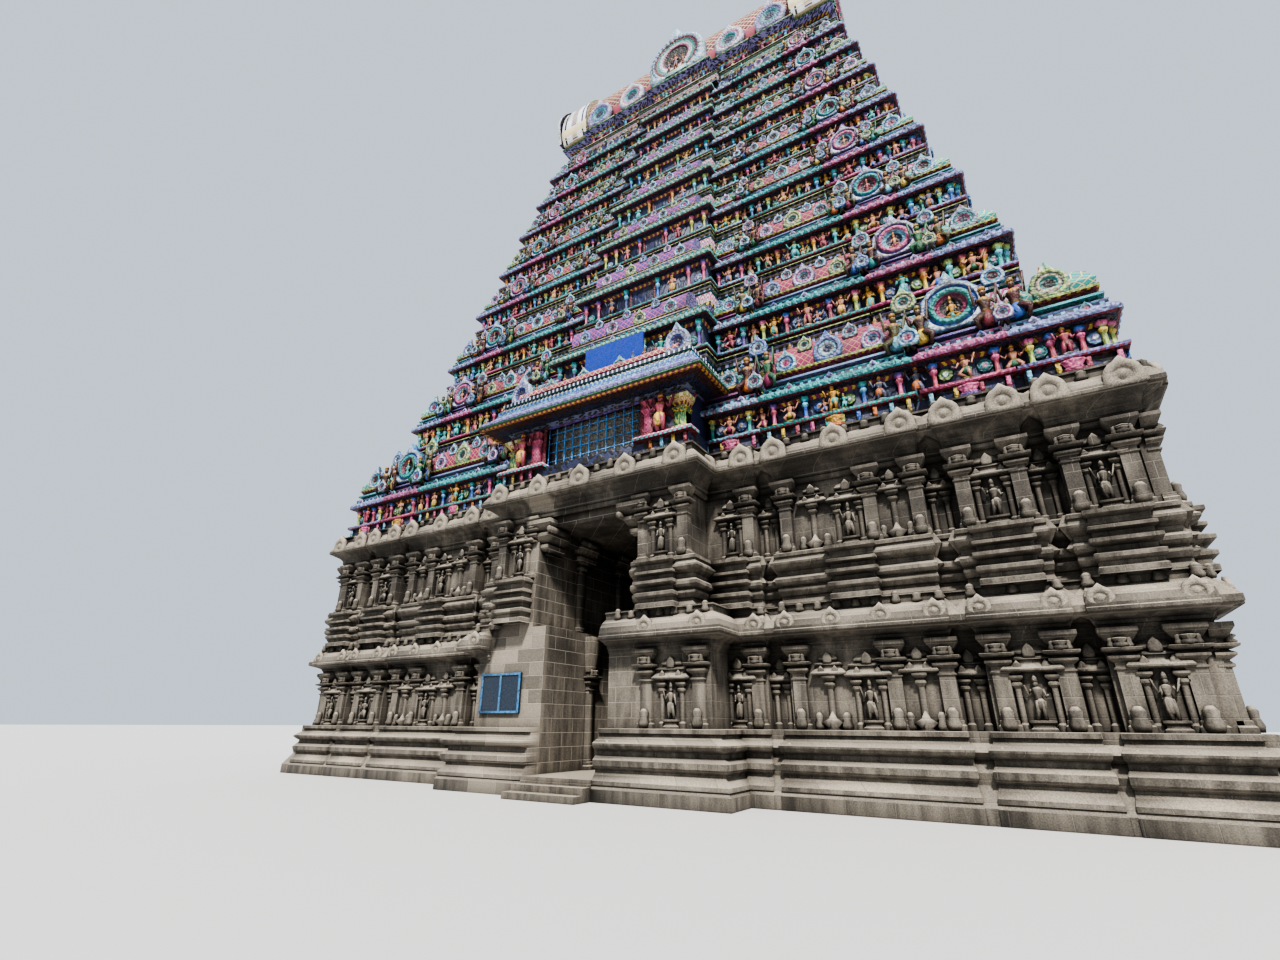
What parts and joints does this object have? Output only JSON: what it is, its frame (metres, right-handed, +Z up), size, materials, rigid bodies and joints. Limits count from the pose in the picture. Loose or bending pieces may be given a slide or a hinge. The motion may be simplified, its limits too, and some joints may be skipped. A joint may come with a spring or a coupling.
{
  "type": "gateway tower",
  "caption": "Painted South Indian temple gateway tower: tall passage through a two-storey granite base, stepped shrine-lined storeys, barrel vault and finials",
  "frame": {"origin": "on the ground under the middle of the passage, at the centre of the plan", "axes": "X along the facade, Y through the passage from front to back, Z up; the front faces -Y"},
  "size_m": [26.94, 20.82, 39.75],
  "materials": {
    "granite": "weathered grey-brown granite, dark in its recesses",
    "painted_walls": "oil-painted lime stucco in teal, blue, pink and yellow",
    "painted_parapets": "oil-painted lime stucco in lilac, teal, pink and white",
    "painted_canopies": "oil-painted lime stucco, lilac and blue with gold and green edges",
    "painted_gables": "oil-painted lime stucco, white with blue and violet",
    "vault_tiles": "pink-red diamond lattice painted on cream stucco",
    "gilded_metal": "weathered gilded copper",
    "board": "blue painted frame and plain panel"
  },
  "bodies": {
    "root": {"plinth_left": "granite", "plinth_right": "granite", "lower_wall_left": "granite", "lower_wall_right": "granite", "mid_cornice_left": "granite", "mid_cornice_right": "granite", "upper_plinth_left": "granite", "upper_plinth_right": "granite", "upper_wall_left": "granite", "upper_wall_right": "granite", "passage_ceiling": "granite", "passage_floor": "granite", "main_cornice": "granite", "notice_board": "board", "name_panel": "board", "canopy_front": "painted_canopies", "canopy_back": "painted_canopies", "storey1_walls": "painted_walls", "storey1_parapet": "painted_parapets", "storey2_walls": "painted_walls", "storey2_parapet": "painted_parapets", "storey3_walls": "painted_walls", "storey3_parapet": "painted_parapets", "storey4_walls": "painted_walls", "storey4_parapet": "painted_parapets", "storey5_walls": "painted_walls", "storey5_parapet": "painted_parapets", "storey6_walls": "painted_walls", "storey6_parapet": "painted_parapets", "storey7_walls": "painted_walls", "storey7_parapet": "painted_parapets", "storey8_walls": "painted_walls", "storey8_parapet": "painted_parapets", "neck_walls": "painted_walls", "vault_eave": "painted_parapets", "vault": "vault_tiles", "gable_left": "painted_gables", "gable_right": "painted_gables", "great_kudu_front": "painted_gables", "great_kudu_back": "painted_gables", "ridge_kalasams": "gilded_metal"}
  },
  "joints": []
}
